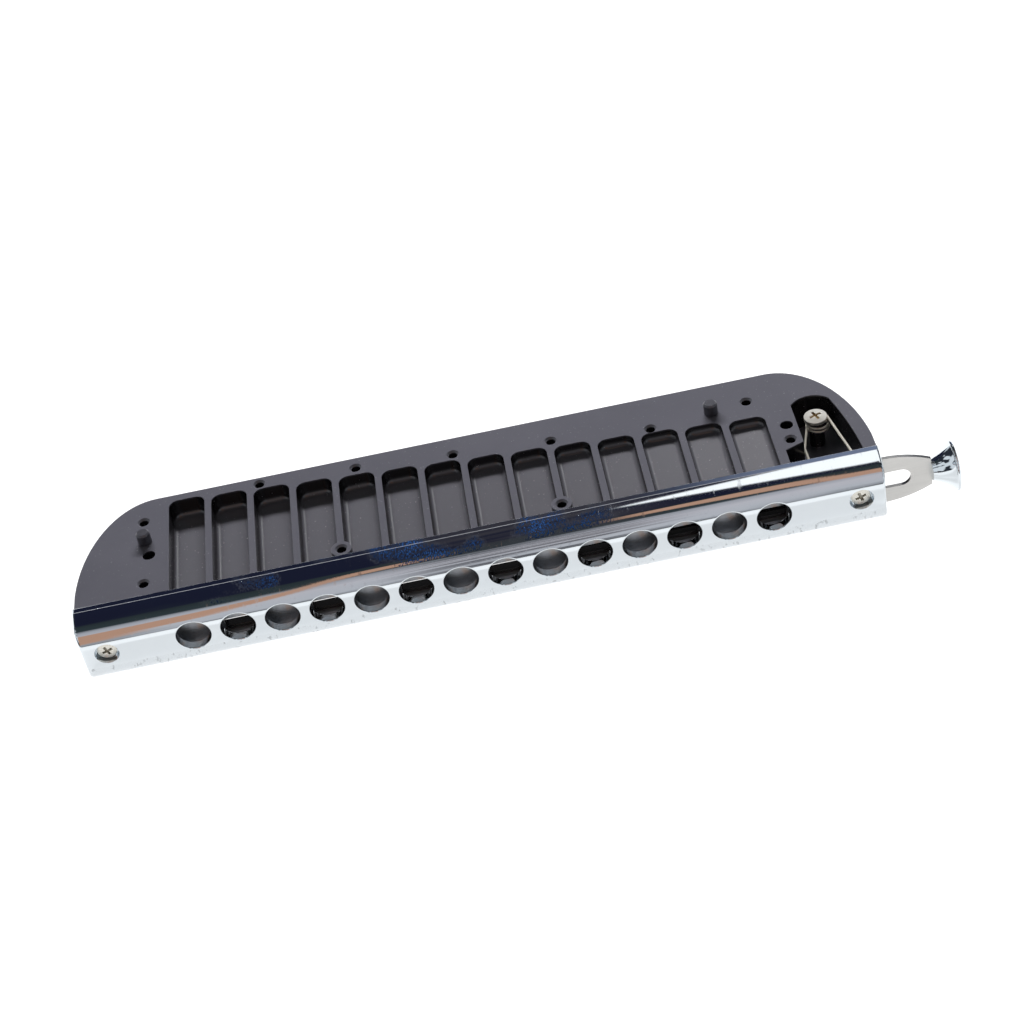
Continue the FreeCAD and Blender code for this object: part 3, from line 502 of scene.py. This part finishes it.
def make_spring(material):
    """The coil and the leg that rests on the comb stay put on the root body; the leg hooked in the slide is
    a separate wire with its place baked in.
    """
    def touch_angle(point, side):
        away = Vector((point.x, point.y, 0)) - SPRING_CENTRE
        return math.atan2(away.y, away.x) + side * math.acos(SPRING_RADIUS / away.length)

    def on_coil(angle, level):
        return SPRING_CENTRE + Vector((SPRING_RADIUS * math.cos(angle),
                                       SPRING_RADIUS * math.sin(angle), level))

    end_angle = touch_angle(SPRING_HOOK, 1)
    start_angle = touch_angle(SPRING_BEND, -1) + 2 * math.pi
    turns = (start_angle - end_angle) / (2 * math.pi) + 2
    bottom = SPRING_TOP - SPRING_PITCH * turns
    bend = Vector((SPRING_BEND.x, SPRING_BEND.y, bottom))
    tip = Vector((SPRING_BEND.x, SPRING_TIP_Y, bottom))
    steps = round(48 * turns)
    coil = [on_coil(start_angle - 2 * math.pi * turns * index / steps,
                    bottom + SPRING_PITCH * turns * index / steps) for index in range(steps + 1)]

    rest = tube("spring_coil", line(tip, bend) + line(bend, coil[0]) + coil, SPRING_WIRE)
    leg = tube("spring_hook_leg", line(coil[-1], SPRING_HOOK) + [SPRING_HOOK], SPRING_WIRE)
    for wire in (rest, leg):
        wire.data.materials.append(material)
        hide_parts("slide_spring")
    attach(rest, "root")
    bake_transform(leg)


def make_floor():
    """A pale floor that glows, so that it comes out as white as the photo's background."""
    mesh = bpy.data.meshes.new("studio_floor")
    corners = [(-FLOOR_HALF, -FLOOR_HALF, 0), (FLOOR_HALF, -FLOOR_HALF, 0),
               (FLOOR_HALF, FLOOR_HALF, 0), (-FLOOR_HALF, FLOOR_HALF, 0)]
    mesh.from_pydata(corners, [], [(0, 1, 2, 3)])
    floor = bpy.data.objects.new("studio_floor", mesh)
    bpy.context.scene.collection.objects.link(floor)
    material, _, shader, _ = new_material("studio_floor")
    shader.inputs["Base Color"].default_value = rgb(0.30, 0.30, 0.30)
    shader.inputs["Roughness"].default_value = 0.9
    shader.inputs["Specular IOR Level"].default_value = 0.1
    shader.inputs["Emission Color"].default_value = rgb(1.0, 1.0, 1.0)
    shader.inputs["Emission Strength"].default_value = FLOOR_GLOW
    mesh.materials.append(material)


# ---------------------------------------------------------------- studio

def make_world():
    """The studio as the chrome sees it: a dark rear wall with a window panel at its right, grey
    panels low on the player's side, a copper-coloured rail between them, and pale walls with dark
    doorways at both ends.

    Their places were tuned so that the chrome shows the photo's stripes from the photo's camera.
    sweep is the height over the player's horizon in degrees, through the zenith to the rear."""
    world = bpy.data.worlds.new("studio")
    bpy.context.scene.world = world
    world.use_nodes = True
    graph = Graph(world.node_tree)
    background = world.node_tree.nodes["Background"]
    direction = graph.new("ShaderNodeTexCoord").outputs["Generated"]
    side, depth, height = graph.split(direction)
    toward = graph.math("MULTIPLY", depth, -1.0)
    sweep = graph.math("MULTIPLY", graph.math("ARCTAN2", height, toward), 180 / math.pi)
    waver = graph.noise(graph.combine(graph.math("MULTIPLY", side, 14.0),
                                      graph.math("MULTIPLY", sweep, 0.06), 0.0), 1.0, 2.0, 0.5)
    bent = graph.math("MULTIPLY_ADD", waver, 24.0, graph.math("SUBTRACT", sweep, 12.0))
    tone = graph.ramp(graph.math("DIVIDE", bent, 180.0), (
        (0.00, rgb(0.16, 0.17, 0.18)),
        (0.06, rgb(0.62, 0.62, 0.66)),
        (0.20, rgb(0.66, 0.63, 0.67)),
        (0.36, rgb(0.46, 0.46, 0.50)),
        (0.42, rgb(0.040, 0.055, 0.060)),
        (0.66, rgb(0.030, 0.040, 0.045)),
        (0.74, rgb(0.013, 0.015, 0.034)),
        (1.00, rgb(0.015, 0.018, 0.040)),
    ))
    streaks = graph.noise(graph.combine(graph.math("MULTIPLY", side, 5.0),
                                        graph.math("MULTIPLY", sweep, 0.22), 3.0), 1.0, 3.0, 0.6)
    middle = graph.band(side, -0.06, 0.05, 0.06)
    shade = graph.math("MULTIPLY", graph.smooth(streaks, 0.40, 0.58), middle)
    tone = graph.mix(graph.math("MULTIPLY", shade, 0.8), tone, rgb(0.06, 0.055, 0.065))

    rail_height = graph.curve(side, [(-0.25, 0.14), (-0.20, 0.15), (-0.13, 0.25), (-0.08, 0.50),
                                     (-0.02, 0.52), (0.04, 0.585), (0.11, 0.54), (0.15, 0.40),
                                     (0.25, 0.36)], -0.25, 0.25)
    off_rail = graph.math("SUBTRACT", graph.math("DIVIDE", sweep, 180.0), rail_height)
    off_rail = graph.math("ABSOLUTE", off_rail)
    rail_half = graph.curve(side, [(-0.25, 0.10), (-0.13, 0.08), (-0.05, 0.05), (0.04, 0.06),
                                   (0.11, 0.09), (0.25, 0.07)], -0.25, 0.25)
    past_rail = graph.smooth(graph.math("SUBTRACT", off_rail, rail_half), -0.015, 0.015)
    rail = graph.math("SUBTRACT", 1.0, past_rail, clamp=True)
    gap = graph.math("SUBTRACT", 1.0, graph.band(side, -0.055, 0.035, 0.03), clamp=True)
    tone = graph.mix(graph.math("MULTIPLY", rail, gap), tone, rgb(0.62, 0.36, 0.25))

    window_half = graph.math("MULTIPLY", graph.spread(side, 0.035, 0.15), 5.0)
    off_window = graph.math("ABSOLUTE", graph.math("SUBTRACT", sweep, 141.0))
    past_window = graph.smooth(graph.math("SUBTRACT", off_window, window_half), -0.4, 0.6)
    window = graph.math("SUBTRACT", 1.0, past_window, clamp=True)
    window = graph.math("MULTIPLY", window, graph.smooth(side, 0.034, 0.040))
    tone = graph.mix(window, tone, rgb(1.45, 1.45, 1.45))
    curtain = graph.math("MULTIPLY", graph.smooth(sweep, 146.0, 150.0), graph.smooth(side, 0.03, 0.13))
    tone = graph.mix(graph.math("MULTIPLY", curtain, 0.9), tone, rgb(0.24, 0.28, 0.40))
    edge = graph.band(sweep, 147.2, 149.0, 0.6)
    tone = graph.mix(graph.math("MULTIPLY", edge, 0.8), tone, rgb(0.16, 0.18, 0.20))
    wall = graph.smooth(graph.math("ABSOLUTE", side), 0.42, 0.55)
    doorways = graph.smooth(graph.noise(direction, 2.6, 1.0, 0.4), 0.46, 0.54)
    wall_tone = graph.mix(doorways, rgb(0.03, 0.035, 0.045), rgb(0.90, 0.94, 0.98))
    tone = graph.mix(wall, tone, wall_tone)
    graph.put(background.inputs["Color"], tone)
    # The painted world shows in reflections only: it lights no matt surface.
    world.cycles_visibility.diffuse = False


def make_light(name, place, size, power):
    """A white panel that faces the origin and doesn't show in reflections."""
    data = bpy.data.lights.new(name, "AREA")
    data.shape = "RECTANGLE"
    data.size, data.size_y = size
    data.energy = power
    light = bpy.data.objects.new(name, data)
    bpy.context.scene.collection.objects.link(light)
    light.location = place
    light.visible_glossy = False
    light.rotation_euler = (-Vector(place)).to_track_quat("-Z", "Y").to_euler()
    return light


def make_camera():
    """The camera that was fitted to the photo."""
    data = bpy.data.cameras.new("camera")
    data.lens = CAMERA_LENS
    data.sensor_width = SENSOR_WIDTH
    data.clip_start = 0.01
    data.clip_end = 50.0
    camera = bpy.data.objects.new("camera", data)
    bpy.context.scene.collection.objects.link(camera)
    turn = (Matrix.Rotation(CAMERA_AZIMUTH, 4, "Z")
            @ Matrix.Rotation(math.pi / 2 - CAMERA_DROP, 4, "X")
            @ Matrix.Rotation(CAMERA_ROLL, 4, "Z"))
    camera.matrix_world = Matrix.Translation(CAMERA_PLACE) @ turn
    bpy.context.scene.camera = camera


make_camera()
make_floor()
make_world()
make_light("rear_softbox", *REAR_SOFTBOX)
make_light("overhead_softbox", *OVERHEAD_SOFTBOX)
bpy.context.scene.view_settings.view_transform = "Standard"

dress(comb_anodised(), "comb")
dress(mouthpiece_chrome(), "mouthpiece")
dress(brushed_steel("slide_steel", (0.60, 0.595, 0.58), 0.26, painted_shade_tone=(0.42, 0.43, 0.44)), "slide")
dress(brushed_steel("plate_steel", (0.40, 0.39, 0.38), 0.30), "slide_back_plate")
dress(button_chrome(), "slide_button")
for name in ("left_mouthpiece_screw", "right_mouthpiece_screw"):
    dress(screw_nickel(name, 1, (0.44, 0.41, 0.34)), name)
dress(screw_nickel("spring_screw", 2, (0.38, 0.27, 0.12)), "spring_screw")
dress(bumper_rubber(), "left_slide_bumper", "right_slide_bumper")
dress(pin_black(), "upper_left_locating_pin", "upper_right_locating_pin",
      "lower_left_locating_pin", "lower_right_locating_pin")
for name in nodes:
    shade_by_angle(name)
    weigh_normals(name)
wire_material = spring_wire()
dress(wire_material, "slide_spring")
make_spring(wire_material)
